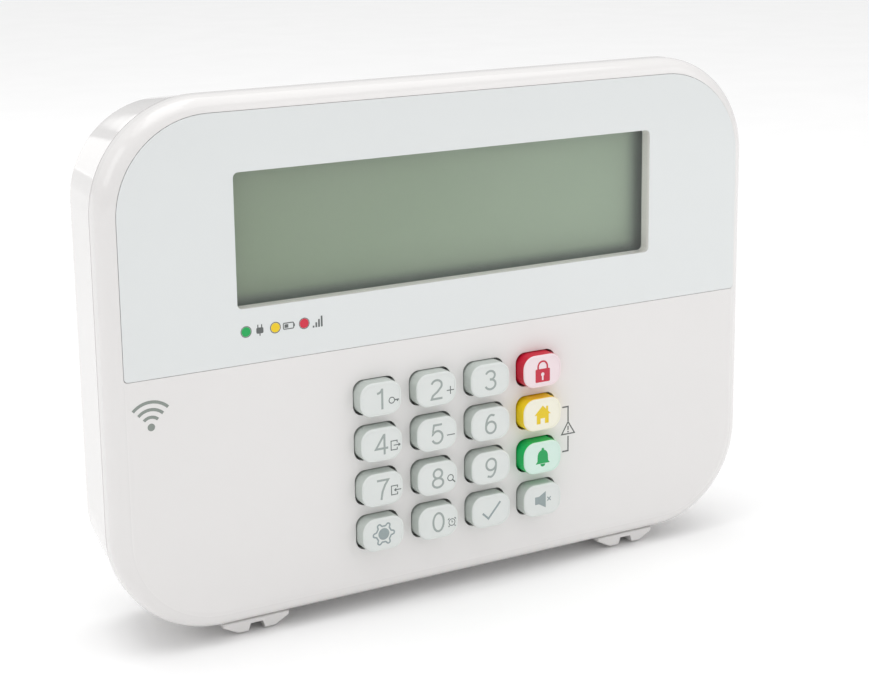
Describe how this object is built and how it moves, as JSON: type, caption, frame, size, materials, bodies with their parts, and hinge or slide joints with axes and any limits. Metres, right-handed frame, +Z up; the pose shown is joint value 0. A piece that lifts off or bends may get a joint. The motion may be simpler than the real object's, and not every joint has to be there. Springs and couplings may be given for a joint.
{
  "type": "alarm keypad panel",
  "caption": "Rounded white alarm keypad panel with a wide liquid-crystal display behind a flush lens, sprung silicone keys, two clip-in desk feet and a battery bay behind a sliding door.",
  "frame": {"origin": "centre of the footprint, on the surface that the panel stands on", "axes": "+X to the right of a person facing the keys, +Y from the key faces to the back, +Z up"},
  "size_m": [0.15, 0.03, 0.11],
  "materials": {
    "housing_white": "moulded gloss",
    "lens_acrylic": "polished",
    "foam_tape": "closed-cell foam",
    "lcd_glass": "polished",
    "light_guide": "moulded",
    "bezel_steel": "pressed",
    "ribbon_film": "film",
    "component_plastic": "moulded matt",
    "silicone_grey": "moulded matt",
    "silicone_red": "moulded matt",
    "silicone_yellow": "moulded matt",
    "silicone_green": "moulded matt",
    "board_green": "solder resist",
    "plated_steel": "zinc plated",
    "contact_metal": "nickel plated",
    "cell_can": "printed sleeve",
    "label_paper": "matt",
    "foot_rubber": "moulded matt"
  },
  "bodies": {
    "panel": {"front_housing": "housing_white", "rear_housing": "housing_white", "left_foot": "housing_white", "right_foot": "housing_white", "display_lens": "lens_acrylic", "lens_tape": "foam_tape", "lcd_glass": "lcd_glass", "lcd_backlight": "light_guide", "lcd_bezel": "bezel_steel", "display_ribbon": "ribbon_film", "display_socket": "component_plastic", "key_mat": "silicone_grey", "main_board": "board_green", "board_screws": "plated_steel", "processor_chip": "component_plastic", "radio_module": "bezel_steel", "antenna_wire": "contact_metal", "sounder": "component_plastic", "tamper_switch": "component_plastic", "power_jack": "component_plastic", "power_jack_pin": "contact_metal", "housing_screws": "plated_steel", "rating_label": "label_paper", "battery_cells": "cell_can", "battery_plates": "contact_metal", "battery_springs": "contact_metal", "left_foot_pads": "foot_rubber", "right_foot_pads": "foot_rubber"},
    "key_1_body": {"key_1": "silicone_grey"},
    "key_2_body": {"key_2": "silicone_grey"},
    "key_3_body": {"key_3": "silicone_grey"},
    "key_lock_body": {"key_lock": "silicone_red"},
    "key_4_body": {"key_4": "silicone_grey"},
    "key_5_body": {"key_5": "silicone_grey"},
    "key_6_body": {"key_6": "silicone_grey"},
    "key_home_body": {"key_home": "silicone_yellow"},
    "key_7_body": {"key_7": "silicone_grey"},
    "key_8_body": {"key_8": "silicone_grey"},
    "key_9_body": {"key_9": "silicone_grey"},
    "key_bell_body": {"key_bell": "silicone_green"},
    "key_settings_body": {"key_settings": "silicone_grey"},
    "key_0_body": {"key_0": "silicone_grey"},
    "key_confirm_body": {"key_confirm": "silicone_grey"},
    "key_mute_body": {"key_mute": "silicone_grey"},
    "tamper_plunger_body": {"tamper_plunger": "housing_white"},
    "battery_door_body": {"battery_door": "housing_white"}
  },
  "joints": [
    {"name": "key_1_press", "type": "slide", "parent": "panel", "child": "key_1_body", "axis": [0, 1, 0], "range_m": [0, 0.0012], "stiffness_N_per_m": 900},
    {"name": "key_2_press", "type": "slide", "parent": "panel", "child": "key_2_body", "axis": [0, 1, 0], "range_m": [0, 0.0012], "stiffness_N_per_m": 900},
    {"name": "key_3_press", "type": "slide", "parent": "panel", "child": "key_3_body", "axis": [0, 1, 0], "range_m": [0, 0.0012], "stiffness_N_per_m": 900},
    {"name": "key_lock_press", "type": "slide", "parent": "panel", "child": "key_lock_body", "axis": [0, 1, 0], "range_m": [0, 0.0012], "stiffness_N_per_m": 900},
    {"name": "key_4_press", "type": "slide", "parent": "panel", "child": "key_4_body", "axis": [0, 1, 0], "range_m": [0, 0.0012], "stiffness_N_per_m": 900},
    {"name": "key_5_press", "type": "slide", "parent": "panel", "child": "key_5_body", "axis": [0, 1, 0], "range_m": [0, 0.0012], "stiffness_N_per_m": 900},
    {"name": "key_6_press", "type": "slide", "parent": "panel", "child": "key_6_body", "axis": [0, 1, 0], "range_m": [0, 0.0012], "stiffness_N_per_m": 900},
    {"name": "key_home_press", "type": "slide", "parent": "panel", "child": "key_home_body", "axis": [0, 1, 0], "range_m": [0, 0.0012], "stiffness_N_per_m": 900},
    {"name": "key_7_press", "type": "slide", "parent": "panel", "child": "key_7_body", "axis": [0, 1, 0], "range_m": [0, 0.0012], "stiffness_N_per_m": 900},
    {"name": "key_8_press", "type": "slide", "parent": "panel", "child": "key_8_body", "axis": [0, 1, 0], "range_m": [0, 0.0012], "stiffness_N_per_m": 900},
    {"name": "key_9_press", "type": "slide", "parent": "panel", "child": "key_9_body", "axis": [0, 1, 0], "range_m": [0, 0.0012], "stiffness_N_per_m": 900},
    {"name": "key_bell_press", "type": "slide", "parent": "panel", "child": "key_bell_body", "axis": [0, 1, 0], "range_m": [0, 0.0012], "stiffness_N_per_m": 900},
    {"name": "key_settings_press", "type": "slide", "parent": "panel", "child": "key_settings_body", "axis": [0, 1, 0], "range_m": [0, 0.0012], "stiffness_N_per_m": 900},
    {"name": "key_0_press", "type": "slide", "parent": "panel", "child": "key_0_body", "axis": [0, 1, 0], "range_m": [0, 0.0012], "stiffness_N_per_m": 900},
    {"name": "key_confirm_press", "type": "slide", "parent": "panel", "child": "key_confirm_body", "axis": [0, 1, 0], "range_m": [0, 0.0012], "stiffness_N_per_m": 900},
    {"name": "key_mute_press", "type": "slide", "parent": "panel", "child": "key_mute_body", "axis": [0, 1, 0], "range_m": [0, 0.0012], "stiffness_N_per_m": 900},
    {"name": "tamper_press", "type": "slide", "parent": "panel", "child": "tamper_plunger_body", "axis": [0, -1, 0], "range_m": [0, 0.0015], "stiffness_N_per_m": 400},
    {"name": "battery_door_slide", "type": "slide", "parent": "panel", "child": "battery_door_body", "axis": [0, 0, -1], "range_m": [0, 0.05]}
  ]
}
